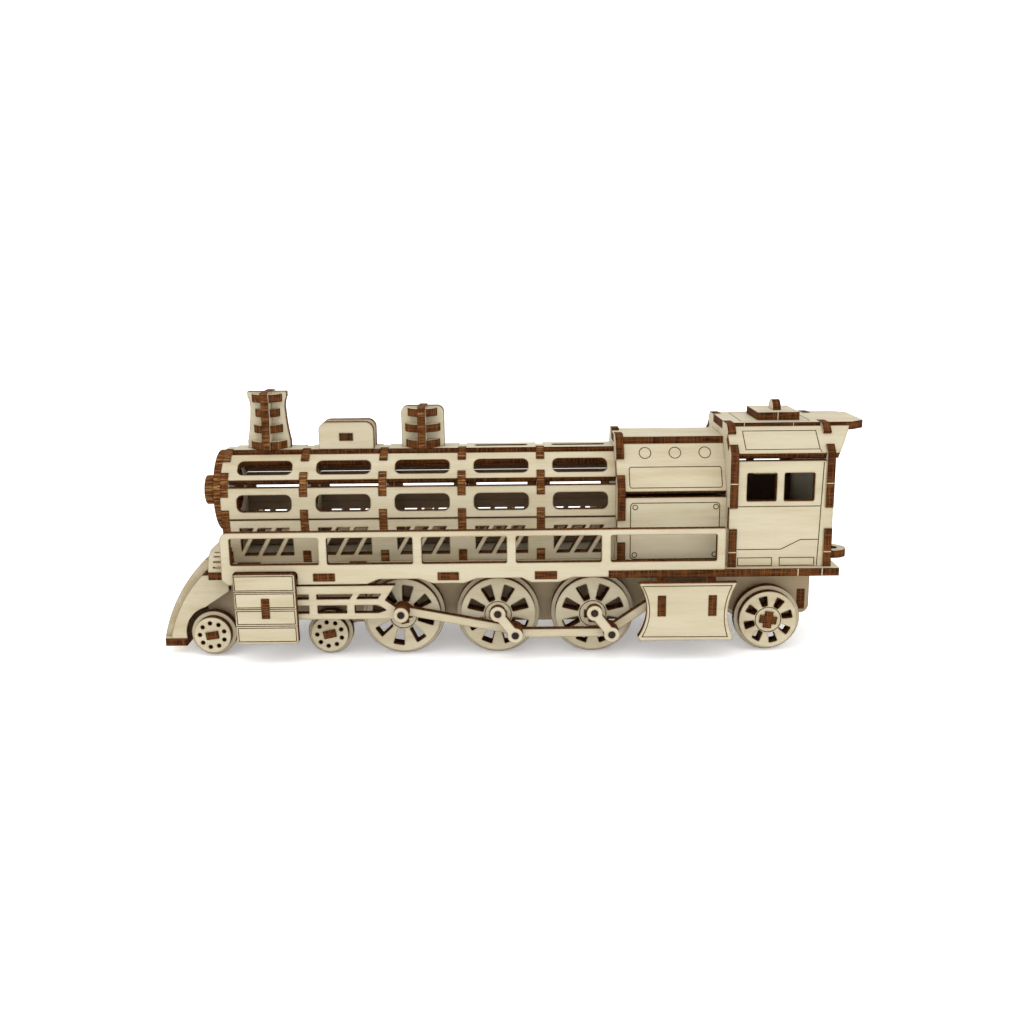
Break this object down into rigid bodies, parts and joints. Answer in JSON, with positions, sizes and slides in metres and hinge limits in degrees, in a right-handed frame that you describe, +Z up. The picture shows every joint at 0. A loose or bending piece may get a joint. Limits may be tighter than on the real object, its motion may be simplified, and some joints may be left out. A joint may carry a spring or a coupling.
{
  "type": "plywood locomotive model puzzle",
  "caption": "Flat-pack plywood steam locomotive model with slotted ring boiler, railings, cab, side rods and turning wheelsets.",
  "frame": {"origin": "bottom centre of the model, on the surface that it stands on", "axes": "-X is the front of the engine, +Y its right side, +Z up"},
  "size_m": [0.25, 0.0644, 0.0921],
  "materials": {
    "birch_ply": "raw",
    "wheel_ply": "raw",
    "axle_ply": "raw",
    "dowel": "raw"
  },
  "bodies": {
    "locomotive": {"boiler_lower_panel_left": "birch_ply", "boiler_lower_panel_right": "birch_ply", "boiler_rings": "birch_ply", "boiler_shoulder_panel_left": "birch_ply", "boiler_shoulder_panel_right": "birch_ply", "boiler_side_panel_left": "birch_ply", "boiler_side_panel_right": "birch_ply", "boiler_top_panel": "birch_ply", "cab_front_frame": "birch_ply", "cab_rear_frame": "birch_ply", "cab_shoulder_panel_left": "birch_ply", "cab_shoulder_panel_right": "birch_ply", "cab_side_panel_left": "birch_ply", "cab_side_panel_right": "birch_ply", "chassis_sides": "birch_ply", "chimney_cross_profile": "birch_ply", "chimney_discs": "birch_ply", "chimney_long_profile": "birch_ply", "coupling_eye": "birch_ply", "crank_arms": "birch_ply", "cross_members": "birch_ply", "cylinder_covers": "birch_ply", "dome_cross_profile": "birch_ply", "dome_discs": "birch_ply", "dome_long_profile": "birch_ply", "firebox_frame": "birch_ply", "firebox_shoulder_panel_left": "birch_ply", "firebox_shoulder_panel_right": "birch_ply", "firebox_side_panel_left": "birch_ply", "firebox_side_panel_right": "birch_ply", "firebox_skirts": "birch_ply", "firebox_top_panel": "birch_ply", "front_deck": "birch_ply", "guide_plates": "birch_ply", "pilot_apron": "birch_ply", "pilot_base": "birch_ply", "pilot_cheeks": "birch_ply", "railing_left": "birch_ply", "railing_right": "birch_ply", "rod_pins": "dowel", "roof_handle": "birch_ply", "roof_hatch": "birch_ply", "roof_panel": "birch_ply", "running_board": "birch_ply", "sand_box": "birch_ply", "side_rods": "birch_ply", "smokebox_disc": "birch_ply", "smokebox_door": "birch_ply"},
    "driving_wheelset_1": {"driving_axle_1": "axle_ply", "driving_wheels_1": "wheel_ply"},
    "driving_wheelset_2": {"driving_axle_2": "axle_ply", "driving_wheels_2": "wheel_ply"},
    "driving_wheelset_3": {"driving_axle_3": "axle_ply", "driving_wheels_3": "wheel_ply"},
    "leading_wheelset_front": {"leading_axle_front": "axle_ply", "leading_wheels_front": "wheel_ply"},
    "leading_wheelset_rear": {"leading_axle_rear": "axle_ply", "leading_wheels_rear": "wheel_ply"},
    "trailing_wheelset": {"trailing_axle": "axle_ply", "trailing_wheels": "wheel_ply"}
  },
  "joints": [
    {"name": "driving_wheelset_1_turn", "type": "hinge", "parent": "locomotive", "child": "driving_wheelset_1", "pos_m": [-0.0375, 0, 0.0147], "axis": [0, 1, 0], "continuous": true},
    {"name": "driving_wheelset_2_turn", "type": "hinge", "parent": "locomotive", "child": "driving_wheelset_2", "pos_m": [-0.004, 0, 0.0147], "axis": [0, 1, 0], "continuous": true},
    {"name": "driving_wheelset_3_turn", "type": "hinge", "parent": "locomotive", "child": "driving_wheelset_3", "pos_m": [0.0295, 0, 0.0147], "axis": [0, 1, 0], "continuous": true},
    {"name": "trailing_wheelset_turn", "type": "hinge", "parent": "locomotive", "child": "trailing_wheelset", "pos_m": [0.0917, 0, 0.0117], "axis": [0, 1, 0], "continuous": true},
    {"name": "leading_wheelset_front_turn", "type": "hinge", "parent": "locomotive", "child": "leading_wheelset_front", "pos_m": [-0.1056, 0, 0.008], "axis": [0, 1, 0], "continuous": true},
    {"name": "leading_wheelset_rear_turn", "type": "hinge", "parent": "locomotive", "child": "leading_wheelset_rear", "pos_m": [-0.0639, 0, 0.008], "axis": [0, 1, 0], "continuous": true}
  ]
}
